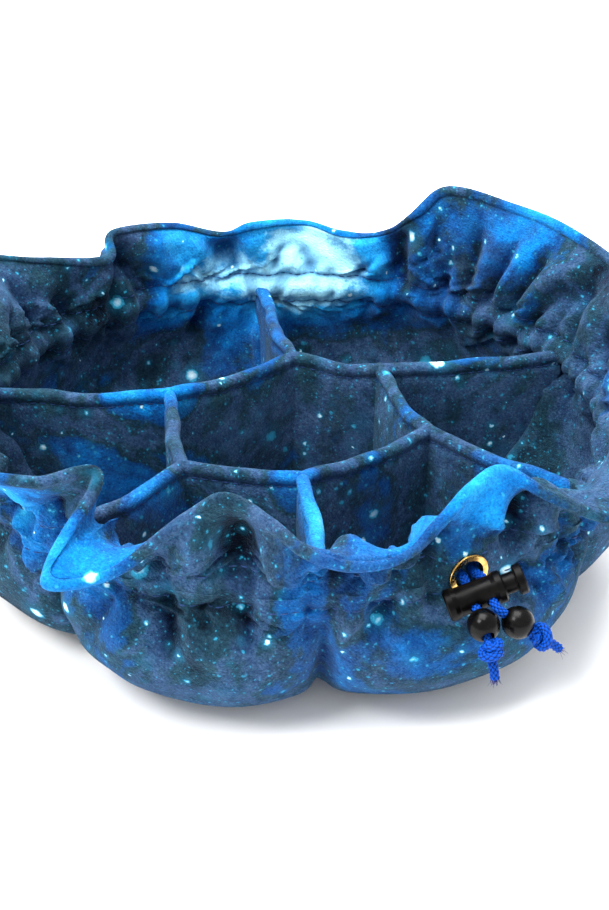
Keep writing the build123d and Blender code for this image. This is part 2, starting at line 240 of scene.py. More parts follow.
def new_object(name, data):
    obj = bpy.data.objects.new(name, data)
    bpy.context.scene.collection.objects.link(obj)
    return obj


def mesh_object(name, points_mm, faces):
    """A smooth-shaded piece that rides on the bag."""
    mesh = bpy.data.meshes.new(name)
    mesh.from_pydata((np.asarray(points_mm) * MM).tolist(), [], [list(map(int, f)) for f in faces])
    mesh.shade_smooth()
    obj = new_object(name, mesh)
    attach(obj, "bag")
    return obj


def tube_faces(start, rings, sides):
    """Faces of a small tube with closed ends, whose points begin at start."""
    faces = []
    for k in range(rings - 1):
        for j in range(sides):
            n = (j + 1) % sides
            faces.append([start + k * sides + j, start + k * sides + n,
                          start + (k + 1) * sides + n, start + (k + 1) * sides + j])
    faces.append([start + j for j in range(sides)][::-1])
    faces.append([start + (rings - 1) * sides + j for j in range(sides)])
    return faces


def closed_from_rings(name, rings, values=None, attribute="painted_fold_shade"):
    """A closed solid from a list of rings with equal counts, its two ends closed by fans.

    values has one number for each ring's point, kept on the mesh as an attribute.
    """
    rings = [np.asarray(r) for r in rings]
    columns = len(rings[0])
    points = np.concatenate([*rings, rings[0].mean(axis=0)[None], rings[-1].mean(axis=0)[None]])
    faces = grid_faces(len(rings), columns).tolist()
    start, end = len(rings) * columns, len(rings) * columns + 1
    last = (len(rings) - 1) * columns
    for c in range(columns):
        n = (c + 1) % columns
        faces.append([start, n, c])
        faces.append([end, last + c, last + n])
    obj = mesh_object(name, points, faces)
    if values is not None:
        flat = np.append(np.concatenate([np.broadcast_to(v, columns) for v in values]), [0.0, 0.0])
        obj.data.attributes.new(attribute, "FLOAT", "POINT").data.foreach_set("value", flat)
    return obj


# ---------- small cloth detail
# Folds that show in the photograph: angle at the channel, how far the angle drifts in each
# millimetre up the cloth, where the fold starts and ends along the cloth from the channel,
# half its width, and its depth, inwards. A minus depth folds the other way.
FOLDS = [
    (261.5, 0.02, -13, 27, 3.9, 7.6), (256.5, 0.25, 2, 20, 3.0, 2.4), (267.0, -0.25, -2, 18, 3.2, 2.6),
    (250.0, -0.12, -26, 10, 3.6, 3.4), (244.5, 0.30, -30, 4, 3.2, 2.6), (238.0, 0.15, -12, 20, 3.0, 3.0),
    (274.5, 0.30, -4, 24, 3.4, 3.4), (281.0, -0.20, -12, 10, 3.0, 2.4), (286.5, 0.35, -16, 16, 3.0, 2.8),
    (291.2, 0.05, -9, 24, 2.8, 4.6), (303.6, 0.28, -2, 30, 3.2, 6.0), (309.5, 0.30, -18, 12, 3.4, 2.6),
    (316.5, -0.10, -8, 24, 3.2, 2.6), (324.0, 0.15, -20, 10, 3.0, 3.0), (335.0, 0.20, -12, 22, 3.4, 3.4),
    (232.0, -0.10, -14, 22, 3.4, 3.0), (223.0, 0.22, -10, 16, 3.0, 2.6), (212.0, -0.2, -18, 22, 3.4, 3.2),
    # the back, seen from inside: here a minus depth is a valley
    (124.0, 0.10, -16, 32, 3.6, -4.6), (132.0, -0.20, -20, 24, 3.2, -3.4), (140.0, 0.22, -14, 18, 3.0, -2.8),
    (117.5, 0.32, -8, 18, 3.0, -2.6), (108.0, -0.15, -10, 30, 3.4, -2.6), (112.0, 0.05, -14, 4, 2.6, 2.2),
    (99.5, 0.25, -6, 26, 3.2, -3.6), (92.0, -0.35, -12, 10, 2.8, -2.6), (84.0, 0.30, -4, 20, 2.8, -2.0),
    (74.5, -0.30, -12, 8, 2.6, -2.6), (67.0, 0.06, -14, 34, 3.6, -5.6), (61.0, -0.10, -10, 24, 2.2, -3.2),
    (57.0, -0.14, -12, 22, 2.0, -2.8), (53.0, -0.18, -10, 26, 2.2, -3.2), (48.5, -0.32, -12, 26, 2.6, -3.6),
    (43.0, -0.40, -14, 28, 3.0, -3.8), (36.0, -0.45, -14, 24, 3.2, -4.0), (29.0, -0.20, -12, 18, 2.6, -2.8),
    (22.0, 0.10, -16, 30, 3.8, -4.4), (14.0, -0.22, -10, 22, 3.0, -3.0), (5.0, 0.20, -14, 24, 3.2, -3.4),
    (150.0, 0.1, -18, 26, 3.4, -3.6), (160.0, -0.15, -12, 20, 3.0, -3.2), (170.0, 0.2, -16, 26, 3.4, -3.6),
    (180.0, -0.2, -10, 20, 3.0, 3.2), (191.0, 0.1, -18, 24, 3.4, -3.0), (202.0, 0.2, -12, 20, 3.0, 3.0),
]
PLAIN_BESIDE_EYELET = 5.2  # degrees to each side of it without folds
FOLD_LIMIT = 8.5  # overlapping folds never add up to more than this
CORD_ROOM = 1.5  # nor to more than this over the drawstring, which keeps its place
GATHER_COUNT = 58  # puckers along the drawstring, between the large folds
CRUMPLE_COUNT = 150  # small creases beside the channel's stitches


def pinch(theta, away, fold):
    """One fold: a crease with a rounded shoulder on each side, fading at both its ends."""
    angle, drift, start, end, half, deep = fold
    across = (theta - angle - drift * away + 180) % 360 - 180
    across = np.radians(across) * CHANNEL_R
    soft = 0.28 * (end - start)
    along = np.clip((away - start) / soft, 0, 1) * np.clip((end - away) / soft, 0, 1)
    along = along * along * (3 - 2 * along)
    half = half * (1 + 0.02 * np.abs(away))
    crease = np.exp(-np.abs(across / half) ** 1.35)
    shoulder = np.exp(-((np.abs(across) - 2.3 * half) / (1.15 * half)) ** 2)
    return deep * along * (0.42 * shoulder - crease)


def random_folds():
    folds = []
    for k in range(GATHER_COUNT):
        angle = (k + RNG.uniform(-0.33, 0.33)) * 360.0 / GATHER_COUNT
        folds.append((angle, RNG.uniform(-0.35, 0.35), -RNG.uniform(7, 24), RNG.uniform(5, 19),
                      RNG.uniform(1.5, 2.6), RNG.uniform(1.6, 3.6) * RNG.choice([1, 1, 1, -1])))
    for k in range(CRUMPLE_COUNT):
        middle = RNG.choice([-1, 1]) * RNG.uniform(4, 12)
        reach = RNG.uniform(3.5, 7)
        folds.append((RNG.uniform(0, 360), RNG.uniform(-2.2, 2.2), middle - reach, middle + reach,
                      RNG.uniform(1.0, 1.8), RNG.uniform(0.7, 2.0) * RNG.choice([1, 1, -1])))
    return folds


ALL_FOLDS = FOLDS + random_folds()
DRIFT_PHASES = RNG.uniform(0, 6.28, 12)


def gather_depth(theta, away):
    """Folds and puckers that run up and down from the channel. away is the distance along the cloth."""
    depth = np.zeros(np.broadcast(theta, away).shape)
    for fold in ALL_FOLDS:
        near = np.abs((fold[0] - EYELET_DEG + 180) % 360 - 180)
        if near > PLAIN_BESIDE_EYELET:
            depth += pinch(theta, away, fold)
    return depth


def slow_ripples(points):
    """Broad soft dents in the cloth, from each point's place."""
    x, y, z = points[..., 0], points[..., 1], points[..., 2]
    p = DRIFT_PHASES
    out = np.sin(x / 9.1 + y / 13.7 + p[0]) * np.sin(z / 7.3 + x / 21.0 + p[1])
    out += np.sin(y / 8.3 - x / 15.1 + p[2]) * np.sin(z / 9.7 - y / 17.0 + p[3])
    out += 0.6 * np.sin(x / 4.7 - z / 6.1 + p[4]) * np.sin(y / 5.3 + z / 7.9 + p[5])
    return out


# ---------- shell and lining
def bowl_grid():
    grid = finer_columns(first_shape(), FINER)
    foot = grid[0]
    floor = [foot * [share, share, 0] + [0, 0, SHELL_T] for share in FLOOR_SHARES]
    return np.concatenate([np.stack(floor), grid])


CREASE_DEEP = 3.4  # how far each lobe seam is pulled in, past the CAD's wall
CREASE_HALF = 3.0


def seam_crease(theta, z):
    """Depth of the sharp crease at the lobe seams."""
    total = np.zeros(np.broadcast(theta[None, :], z).shape)
    for seam in SEAM_DEG:
        across = np.radians((theta - seam + 180) % 360 - 180) * CHANNEL_R
        total += np.exp(-np.abs(across / CREASE_HALF) ** 1.2)[None, :]
    return CREASE_DEEP * total * np.clip((z - 3) / 6, 0, 1) * np.clip((45 - z) / 14, 0, 1)


def bump(x, width):
    """A smooth hump, 1 at 0 and 0 beyond width."""
    return np.where(np.abs(x) < width, np.cos(np.clip(x / width, -1, 1) * np.pi / 2) ** 2, 0.0)


def local_mean(depth):
    """Each value's soft average with its neighbours round the bowl."""
    steps = np.arange(-22, 23)
    weights = np.exp(-(steps / 9.0) ** 2)
    weights /= weights.sum()
    return sum(w * np.roll(depth, k, axis=1) for k, w in zip(steps, weights))


CASING_HALF = 5.2  # from the channel's middle to each of its two stitch lines
CASING_SWELL = 2.1  # how far the cord swells each face of the channel
RIM_TURN = 1.2  # how far the shell is turned over the rim to its seam with the lining
RIM_R = 1.65  # radius of the turned rim
HIDDEN_T = 0.06  # from the middle surface to each layer's hidden face
LINING_SHADE_MAX = 0.8  # the most painted shade that a fold puts on the lining
FLAT_UNDER_EYELET = 10.0  # the cloth lies flat this far round the eyelet
EYELET_HOLE = 4.6
EYELET_OUT = 3.15  # from the channel's middle to the cloth under the eyelet
CALM = 10.0  # how far from the rim the folds start to fade,
CALM_CHANGE = 4.0  # how much further at the front,
CALM_LEFT = 2.0  # and how far from the rim they stop fading
STITCH_HALF = 0.8  # half the width of the dent along a row of stitches


FINE_HALF = 9.0  # the rows are closest this far to each side of the channel's middle
RIM_FINE = 6.0  # and this far below the rim


def row_distances(wall_at, channel_at, rim_at):
    spots = list(np.arange(0, wall_at, 6.0))
    spots += list(np.arange(wall_at, channel_at - FINE_HALF, 1.5))
    spots += list(np.arange(channel_at - FINE_HALF, channel_at + FINE_HALF, 0.65))
    spots += list(np.arange(channel_at + FINE_HALF, rim_at - RIM_FINE, 1.3))
    spots += list(np.linspace(rim_at - RIM_FINE, rim_at, 13))
    return np.array(spots)


def eyelet_dent(points, outward, offset):
    """Changes the outer face's offset so that the cloth lies flat under the eyelet and is open in it."""
    out = unit(EYELET_DEG)
    side = unit(EYELET_DEG + 90)
    face = points + outward * offset[..., None]
    across = face @ side
    rise = face[..., 2] - CHANNEL_Z
    away = np.sqrt(across ** 2 + rise ** 2)
    near = (face @ out > 60)
    flat = CHANNEL_R + EYELET_OUT
    hole = CHANNEL_R + 0.6
    weight = np.clip((FLAT_UNDER_EYELET - away) / 3.2, 0, 1) * near
    weight = weight * weight * (3 - 2 * weight)
    target = np.where(away < EYELET_HOLE, hole, flat)
    shift = (target - face @ out) / np.maximum(outward @ out, 0.3)
    return offset + shift * weight


def make_bowl():
    """Shell and lining as closed solids, and the lines of the channel's stitches."""
    full = bowl_grid()
    away = path_lengths(full)
    floor_rows = len(FLOOR_SHARES)
    channel_at = away[floor_rows + WALL_ROWS - 1]
    spots = row_distances(away[floor_rows], channel_at, away[-1])
    grid = rows_at(full, spots, away)
    columns = grid.shape[1]
    theta = np.arange(columns) * 360.0 / columns
    outward = normals_of(grid)
    outward[: np.searchsorted(spots, away[floor_rows - 1] - 2)] = [0, 0, -1]
    from_channel = (spots - channel_at)[:, None]
    from_rim = (spots[-1] - spots)[:, None]
    on_wall = np.clip((grid[:, :, 2] - 4) / 10, 0, 1)
    calm = CALM - CALM_CHANGE * np.sin(np.radians(theta))[None, :]
    fade = on_wall * np.clip(from_rim / calm, CALM_LEFT / calm, 1)
    detail = gather_depth(theta[None, :], from_channel) * fade
    beside = np.abs((theta - EYELET_DEG + 180) % 360 - 180)[None, :]
    open_face = np.clip((beside - 4.0) / 4.0 + np.clip((np.abs(from_channel) - 8) / 5, 0, 1), 0.08, 1)
    detail = detail * open_face + 0.6 * slow_ripples(grid) * fade
    limit = CORD_ROOM + (FOLD_LIMIT - CORD_ROOM) * np.clip((np.abs(from_channel) - 3.2) / 7, 0, 1)
    deeper = 1 + 0.7 * np.clip((from_channel - 3) / 6, 0, 1)
    detail = limit * np.tanh(deeper * detail / limit)
    detail -= seam_crease(theta, grid[:, :, 2])
    grid = grid + outward * detail[..., None]
    # Painted shade for each layer: cloth lying below its neighbours' soft average, and deep folds, darken the
    # colour through a mesh attribute.
    about = local_mean(detail)
    shell_fold_shade = np.clip((about - detail) / 3.4 + np.clip(-detail / 20, 0, 0.3), 0, 1)
    lining_fold_shade = np.clip((detail - about) / 4.6 + np.clip(detail / 30, 0, 0.2), 0, LINING_SHADE_MAX)
    casing = CASING_SWELL * bump(from_channel, CASING_HALF)
    stitch = sum(np.exp(-((from_channel - side * CASING_HALF) / STITCH_HALF) ** 2) for side in (-1, 1))
    seam = np.exp(-((from_rim - RIM_TURN) / STITCH_HALF) ** 2)
    outer = SHELL_T + casing - 0.7 * stitch + 0.25 * bump(from_rim, 5.0)
    outer = np.broadcast_to(outer, grid.shape[:2]).copy()
    outer = eyelet_dent(grid, outward, outer)
    inner = LINING_T + casing - 0.6 * stitch - 0.35 * seam
    up = np.gradient(grid, axis=0)[-1]
    up /= np.linalg.norm(up, axis=1, keepdims=True)
    top, top_out = grid[-1], outward[-1]

    def layer(index, offset):
        return grid[index] + outward[index] * offset[index][:, None]

    count = len(spots)
    shell_rings = [layer(k, outer) for k in range(count)]
    shell_shade_values = list(shell_fold_shade)
    for turn in np.linspace(0, 180, 9)[1:-1]:
        a = math.radians(turn)
        shell_rings.append(top + top_out * RIM_R * math.cos(a) + up * RIM_R * math.sin(a))
        shell_shade_values.append(0.0)
    last_turned = int(np.searchsorted(spots, spots[-1] - RIM_TURN))
    for k in range(count - 1, last_turned - 1, -1):
        tucked = max(0.0, ((spots[-1] - spots[k]) / RIM_TURN - 0.6) / 0.4)
        shell_rings.append(grid[k] - outward[k] * RIM_R * (1 - 0.30 * tucked ** 2))
        # painted shade in the lining's folds, and where the shell tucks under at the rim seam
        shell_shade_values.append(np.maximum(lining_fold_shade[k], 0.25 * tucked))
    hidden = np.full((count, 1), HIDDEN_T)
    for k in range(last_turned - 1, -1, -1):
        shell_rings.append(layer(k, hidden))
        shell_shade_values.append(0.0)
    shell = closed_from_rings("outer_shell_cloth", shell_rings, values=shell_shade_values)
    lining_rings = [layer(k, -hidden) for k in range(last_turned)]
    lining_shade_values = [0.0] * last_turned
    for k in range(last_turned, -1, -1):
        lining_rings.append(layer(k, -inner))
        # painted shade in the lining's folds and along the channel's stitches
        lining_shade_values.append(np.maximum(lining_fold_shade[k], np.clip(0.7 * stitch[k], 0, 0.7)))
    lining = closed_from_rings("lining_cloth", lining_rings, values=lining_shade_values)
    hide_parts("outer_shell")
    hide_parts("lining")
    lines = {}
    for name, at in (("channel_low", channel_at - CASING_HALF), ("channel_high", channel_at + CASING_HALF)):
        k = int(np.argmin(np.abs(spots - at)))
        lines[name] = (layer(k, outer), layer(k, -inner), outward[k])
    return shell, lining, lines


# ---------- pocket walls
HEM_R = 2.15  # the rolled top
HEM_DOWN = 7.6  # from the wall's top to below the hem's stitches
STITCH_DOWN = 4.5  # from the wall's top to the stitches
STITCH_OUT = 1.22  # from the wall's middle to the stitches
PLY_HALF = 2.0  # half the folded wall's thickness
WALL_SHARES = (0.0, 0.1, 0.24, 0.4, 0.56, 0.72, 0.87)  # heights of the wall's rows below the hem

# Stitches: their spacing, length, half thickness, and height above the cloth.
CHANNEL_STITCH = (3.1, 2.3, 0.22, 0.12)
HEM_STITCH = (3.1, 2.2, 0.2, 0.1)
hem_stitches = []


def wall_profile():
    """Section of a wall folded over at its top: (sideways, share of height), then (sideways, down)."""
    left = [(-PLY_HALF, share) for share in WALL_SHARES]
    below = [(-2.05, HEM_DOWN), (-2.0, 6.4), (-1.65, 5.3), (-1.2, 4.7), (-1.15, 4.35), (-1.45, 3.9)]
    roll = [(HEM_R * math.cos(math.radians(a)), HEM_R * (1 - math.sin(math.radians(a))))
            for a in np.linspace(214, -34, 15)]
    hem = below + roll + [(-x, down) for x, down in reversed(below)]
    right = [(-x, share) for x, share in reversed(left)]
    return left, hem, right


def pocket_wall(name, start, end, low_z, end_inset):
    """A hemmed wall from start to end. end_inset(z) is how far short of end the wall stops at z."""
    along = end - start
    length = float(np.linalg.norm(along))
    along = along / length
    side = np.array([-along[1], along[0]])
    left, hem, right = wall_profile()
    p = RNG.uniform(0, 6.28, 8)
    rings, sides = [], ([], [])
    steps = max(24, int(length / 0.9))
    for i in range(steps + 1):
        s = i / steps
        ease = math.sin(math.pi * s)
        top = POCKET_TOP_Z + 0.4 - 1.5 * ease ** 1.5 + 0.35 * math.sin(s * length / 4.1 + p[0]) * ease
        wave_top = 1.3 * ease * math.sin(s * length / 11.0 + p[1])

        def place(x, z):
            reach = length - end_inset(z)
            d = s * reach
            share = z / POCKET_TOP_Z
            bow = wave_top * share + 1.1 * ease * math.sin(z / 10.0 + s * 5.0 + p[2]) * (1 - share)
            crease = 0.3 * math.sin(d / 2.6 + z / 7.0 + p[3]) * math.sin(z / 6.0 + p[4]) * ease
            q = start + along * d + side * (x + bow + crease)
            return [q[0], q[1], z]

        plump = 1 + 0.07 * math.sin(s * length / 5.3 + p[5]) + 0.05 * math.sin(s * length / 1.9 + p[6])
        under = top - HEM_DOWN - 1.2 - low_z
        ring = [place(x, low_z + share * under) for x, share in left]
        for x, down in hem:
            pucker = 1 + 0.10 * math.sin(s * length * 2.03 + x) * math.exp(-((down - 5.4) / 1.2) ** 2)
            ring.append(place(x * plump * pucker, top - down))
        rings.append(ring + [place(x, low_z + share * under) for x, share in right])
        for side_sign, line in zip((-1, 1), sides):
            line.append(place(side_sign * STITCH_OUT, top - STITCH_DOWN))
    normal = np.array([side[0], side[1], 0.0])
    for word, way, line in zip("ab", (-1, 1), sides):
        line = np.array(line)
        hem_stitches.append(stitch_line(name.replace("cloth", f"stitches_{word}"), line,
                                        np.tile(normal * way, (len(line), 1)), HEM_STITCH, False))
    wall = closed_from_rings(name, rings)
    return wall


def make_pocket_walls():
    floor = SHELL_T + LINING_T - 0.3
    corner = [unit(a)[:2] * r for r, a in CORNERS]
    walls = []
    for k in range(6):
        nxt = corner[(k + 1) % 6]
        along = straight(nxt - corner[k])
        wall = pocket_wall(f"centre_wall_cloth_{k + 1}", corner[k] - along * 1.2, nxt + along * 1.2,
                           floor, lambda z: 0.0)
        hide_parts(f"centre_wall_{k + 1}")
        walls.append(wall)
        seam = SEAM_DEG[k]
        target = unit(seam)[:2] * CHANNEL_R

        def inset(z, seam=seam):
            limit = wall_radius(np.array([seam]), np.array([min(z, 48.0)]))[0]
            return CHANNEL_R - (limit - SHELL_T - LINING_T + 0.9)

        away = straight(target - corner[k])
        wall = pocket_wall(f"divider_cloth_{k + 1}", corner[k] + away * 0.8, target, floor, inset)
        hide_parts(f"divider_{k + 1}")
        walls.append(wall)
    return walls


# ---------- stitches
def stitch_line(name, points, normals, stitch, closed=True):
    """Short thread stitches laid along a line on the cloth."""
    pitch, length, thick, lift = stitch
    loop = np.concatenate([points, points[:1]]) if closed else points
    gaps = np.linalg.norm(np.diff(loop, axis=0), axis=1)
    where = np.concatenate([[0], np.cumsum(gaps)])
    count = int(where[-1] / pitch)
    verts, faces = [], []
    ring = 6
    profile = [(-0.5, 0.25), (-0.42, 0.8), (-0.2, 1.0), (0.2, 1.0), (0.42, 0.8), (0.5, 0.25)]
    for i in range(count):
        mid = (i + 0.5) * where[-1] / count
        at = [np.array([np.interp(mid + d, where, loop[:, c]) for c in range(3)])
              for d in (-length / 2, 0.0, length / 2)]
        n = normals[int(np.searchsorted(where, mid) - 1) % len(normals)]
        along = straight(at[2] - at[0])
        flat = np.cross(n, along)
        faces += tube_faces(len(verts), len(profile), ring)
        for share, fat in profile:
            sink = lift - 0.35 * (abs(share) * 2) ** 3
            centre = at[1] + along * share * length + n * sink
            for j in range(ring):
                a = 2 * math.pi * j / ring
                verts.append(centre + (n * math.cos(a) + flat * math.sin(a)) * thick * fat)
    return mesh_object(name, verts, faces)


# ---------- materials
class Nodes:
    """A short way to build a material's node tree."""

    def __init__(self, name):
        self.material = bpy.data.materials.new(name)
        self.material.use_nodes = True
        self.tree = self.material.node_tree
        self.shader = self.tree.nodes["Principled BSDF"]
        self.place = self.add("ShaderNodeTexCoord").outputs["Object"]

    def add(self, kind, **settings):
        node = self.tree.nodes.new(kind)
        for key, value in settings.items():
            setattr(node, key, value)
        return node

    def link(self, source, target):
        self.tree.links.new(source, target)

    def feed(self, socket, value):
        if isinstance(value, bpy.types.NodeSocket):
            self.link(value, socket)
        else:
            socket.default_value = value

    def look(self, word, value):
        self.feed(self.shader.inputs[word], value)

    def math(self, operation, a, b, clamp=False):
        node = self.add("ShaderNodeMath", operation=operation, use_clamp=clamp)
        self.feed(node.inputs[0], a)
        self.feed(node.inputs[1], b)
        return node.outputs[0]

    def plus(self, a, b):
        return self.math("ADD", a, b)

    def times(self, a, b, clamp=False):
        return self.math("MULTIPLY", a, b, clamp)

    def noise(self, scale, detail=2.0, rough=0.5, warp=0.0):
        node = self.add("ShaderNodeTexNoise")
        self.link(self.place, node.inputs["Vector"])
        for word, value in (("Scale", scale), ("Detail", detail), ("Roughness", rough), ("Distortion", warp)):
            node.inputs[word].default_value = value
        return node.outputs["Fac"]

    def cells(self, scale, seed):
        """Distance from scattered points, and a random colour for each."""
        node = self.add("ShaderNodeTexVoronoi")
        shift = self.add("ShaderNodeVectorMath", operation="ADD")
        self.link(self.place, shift.inputs[0])
        shift.inputs[1].default_value = seed
        self.link(shift.outputs[0], node.inputs["Vector"])
        node.inputs["Scale"].default_value = scale
        return node.outputs["Distance"], node.outputs["Color"]

    def ramp(self, value, stops):
        node = self.add("ShaderNodeValToRGB")
        node.color_ramp.interpolation = "EASE"
        elements = node.color_ramp.elements
        while len(elements) < len(stops):
            elements.new(0.5)
        for element, (at, colour) in zip(elements, stops):
            element.position = at
            element.color = (*colour, 1)
        self.feed(node.inputs[0], value)
        return node.outputs[0]

    def mix(self, share, a, b, blend="MIX"):
        node = self.add("ShaderNodeMix", data_type="RGBA", blend_type=blend)
        self.feed(node.inputs["Factor"], share)
        for socket, value in ((node.inputs[6], a), (node.inputs[7], b)):
            self.feed(socket, (*value, 1) if isinstance(value, tuple) and len(value) == 3 else value)
        return node.outputs[2]

    def bump(self, height, distance, strength, under=None):
        node = self.add("ShaderNodeBump")
        node.inputs["Distance"].default_value = distance
        node.inputs["Strength"].default_value = strength
        self.link(height, node.inputs["Height"])
        if under is not None:
            self.link(under, node.inputs["Normal"])
        return node.outputs["Normal"]

    def spot(self, centre, radius):
        """1 at a place, falling to 0 at radius. Lengths in millimetres."""
        near = self.add("ShaderNodeVectorMath", operation="DISTANCE")
        self.link(self.place, near.inputs[0])
        near.inputs[1].default_value = [c * MM for c in centre]
        fall = self.add("ShaderNodeMapRange", interpolation_type="SMOOTHSTEP")
        self.link(near.outputs["Value"], fall.inputs[0])
        for k, value in enumerate((0.0, radius * MM, 1.0, 0.0)):
            fall.inputs[1 + k].default_value = value
        return fall.outputs[0]


NIGHT = (0.001, 0.004, 0.010)
SLATE = (0.009, 0.033, 0.053)
DUSK = (0.026, 0.062, 0.138)
DEEP_BLUE = (0.004, 0.058, 0.210)
AZURE = (0.002, 0.135, 0.430)
SKY = (0.012, 0.270, 0.620)
PALE = (0.36, 0.80, 1.0)
MAUVE = (0.033, 0.052, 0.120)
STAR_HALO = (0.012, 0.20, 0.36)
STAR_BLUE = (0.03, 0.34, 0.55)
STAR_WHITE = (0.78, 0.95, 1.0)

STAR_LAYERS = [  # cells in a metre, star's radius as a share of a cell, share lit, whiteness, seed
    (72.0, 0.140, 0.74, 1.00, (3.1, 1.7, 4.2)),
    (190.0, 0.145, 0.46, 0.95, (7.4, 2.2, 0.9)),
    (430.0, 0.175, 0.55, 0.40, (1.3, 8.8, 5.1)),
    (800.0, 0.200, 0.55, 0.27, (5.3, 4.8, 6.1)),
]
FOLD_SHADE_STRENGTH = 0.94  # how much painted shade darkens the cloth at the bottom of a fold
TUFT_POWER = (1.25, 1.0, 0.72)  # for red, green and blue, so that darker tufts and painted fold shade are bluer


def stars(m):
    """Bright middles and soft halos of scattered, slightly ragged stars."""
    cores, halos = 0.0, 0.0
    plain = m.place
    wander = m.add("ShaderNodeTexNoise")
    m.link(plain, wander.inputs["Vector"])
    wander.inputs["Scale"].default_value = 620.0
    ragged = m.add("ShaderNodeVectorMath", operation="MULTIPLY_ADD")
    m.link(wander.outputs["Color"], ragged.inputs[0])
    ragged.inputs[1].default_value = (0.0016, 0.0016, 0.0016)
    m.link(plain, ragged.inputs[2])
    m.place = ragged.outputs[0]
    for cells, radius, share, bright, seed in STAR_LAYERS:
        distance, chance = m.cells(cells, seed)
        split = m.add("ShaderNodeSeparateColor")
        m.link(chance, split.inputs[0])
        lit = m.math("GREATER_THAN", split.outputs[0], 1 - share)
        lit = m.times(lit, m.plus(m.times(split.outputs[2], 0.6), 0.4))
        lit = m.times(lit, bright)
        size = m.times(m.plus(split.outputs[1], 0.45), radius)
        core = m.math("SUBTRACT", 1.0, m.math("DIVIDE", distance, size), clamp=True)
        core = m.times(m.math("POWER", core, 0.45), lit)
        wide = m.math("DIVIDE", distance, m.times(size, 3.1))
        halo = m.math("SUBTRACT", 1.0, wide, clamp=True)
        halo = m.times(m.math("POWER", halo, 1.6), lit)
        cores = m.math("MAXIMUM", core, cores)
        halos = m.math("MAXIMUM", halo, halos)
    m.place = plain
    return cores, halos


def starry_velvet(name, lift, glows):
    """Printed velvet: clouds of blue, scattered stars, short pile, and painted shade in its folds. lift
    shifts it lighter.
    """
    m = Nodes(name)
    cloud = m.noise(13.0, 6.0, 0.58, 0.9)
    fine = m.noise(60.0, 5.0, 0.62, 0.5)
    tone = m.plus(m.times(cloud, 0.74), m.times(fine, 0.26))
    tone = m.plus(tone, lift)
    for centre, radius, gain in glows:
        ragged = m.times(m.spot(centre, radius), m.plus(fine, 0.45))
        tone = m.plus(tone, m.times(ragged, gain))
    colour = m.ramp(tone, [
        (0.37, NIGHT), (0.44, SLATE), (0.495, DUSK), (0.535, SLATE), (0.58, DEEP_BLUE), (0.65, AZURE),
        (0.78, SKY), (0.91, PALE),
    ])
    contrast = m.math("MINIMUM", m.times(m.math("SUBTRACT", 1.08, tone), 1.9), 1.0)
    contrast = m.math("MAXIMUM", contrast, 0.2)
    patches = m.ramp(m.noise(31.0, 4.0, 0.6), [(0.46, (0,) * 3), (0.62, (0.7,) * 3)])
    patches = m.times(m.times(patches, 0.36), m.math("POWER", contrast, 2.0))
    colour = m.mix(patches, colour, MAUVE)
    tufts = m.plus(m.times(m.noise(1350.0, 3.0, 0.75), 3.0), -0.50)
    rubbed_tone = m.plus(m.times(m.noise(170.0, 4.0, 0.65, 0.8), 1.9), 0.05)
    tufts = m.times(m.math("MAXIMUM", tufts, 0.25), rubbed_tone)
    tufts = m.plus(m.times(m.math("SUBTRACT", tufts, 1.0), contrast), 1.0)
    # painted shade in folds, along stitches and at the rim seam, read from the mesh attribute, darkens the
    # tufts
    painted_fold_shade = m.add("ShaderNodeAttribute", attribute_name="painted_fold_shade").outputs["Fac"]
    tufts = m.times(tufts, m.math("SUBTRACT", 1.0, m.times(painted_fold_shade, FOLD_SHADE_STRENGTH)))
    tuft_and_fold_shade = m.add("ShaderNodeCombineColor")
    for k, power in enumerate(TUFT_POWER):
        m.link(m.math("POWER", tufts, power), tuft_and_fold_shade.inputs[k])
    colour = m.mix(1.0, colour, tuft_and_fold_shade.outputs[0], "MULTIPLY")
    cores, halos = stars(m)
    colour = m.mix(m.times(halos, 0.65), colour, STAR_HALO)
    colour = m.mix(m.math("MINIMUM", m.times(cores, 2.4), 1.0), colour, STAR_BLUE)
    white = m.times(m.math("SUBTRACT", cores, 0.34), 2.6, clamp=True)
    colour = m.mix(white, colour, STAR_WHITE)
    m.look("Base Color", colour)
    pile = m.plus(m.noise(2400.0, 2.0, 0.7), m.noise(650.0, 3.0, 0.6))
    knit = m.add("ShaderNodeTexWave", bands_direction="DIAGONAL")
    m.link(m.place, knit.inputs["Vector"])
    knit.inputs["Scale"].default_value = 420.0
    knit.inputs["Distortion"].default_value = 6.0
    rubbed = m.bump(m.noise(95.0, 4.0, 0.6, 0.6), 0.0012, 0.55)
    pile = m.plus(pile, m.times(knit.outputs["Fac"], 0.12))
    m.look("Normal", m.bump(pile, 0.0006, 0.9, rubbed))
    m.look("Roughness", 0.92)
    s = m.shader.inputs
    s["Specular IOR Level"].default_value = 0.06
    s["Sheen Weight"].default_value = 0.14
    s["Sheen Roughness"].default_value = 0.38
    s["Sheen Tint"].default_value = (0.36, 0.62, 1.0, 1)
    return m.material


def brass():
    m = Nodes("polished_brass")
    worn = m.noise(420.0, 4.0, 0.6)
    m.look("Base Color", m.ramp(worn, [
        (0.3, (0.38, 0.20, 0.05)), (0.6, (0.60, 0.38, 0.12)), (0.8, (0.72, 0.50, 0.20)),
    ]))
    m.look("Roughness", m.ramp(worn, [(0.3, (0.34,) * 3), (0.7, (0.16,) * 3)]))
    m.look("Metallic", 1.0)
    m.look("Normal", m.bump(m.noise(1500.0, 2.0), 0.0001, 0.3))
    return m.material


def black_plastic(name, rough, shine):
    m = Nodes(name)
    grime = m.noise(260.0, 4.0, 0.6)
    m.look("Base Color", m.ramp(grime, [(0.35, (0.0007, 0.0006, 0.0006)), (0.75, (0.0028, 0.0024, 0.0022))]))
    m.look("Roughness", m.ramp(grime, [(0.3, (rough,) * 3), (0.7, (rough + 0.14,) * 3)]))
    m.shader.inputs["Specular IOR Level"].default_value = shine
    m.look("Normal", m.bump(m.noise(1900.0, 2.0), 0.00006, 0.35))
    return m.material


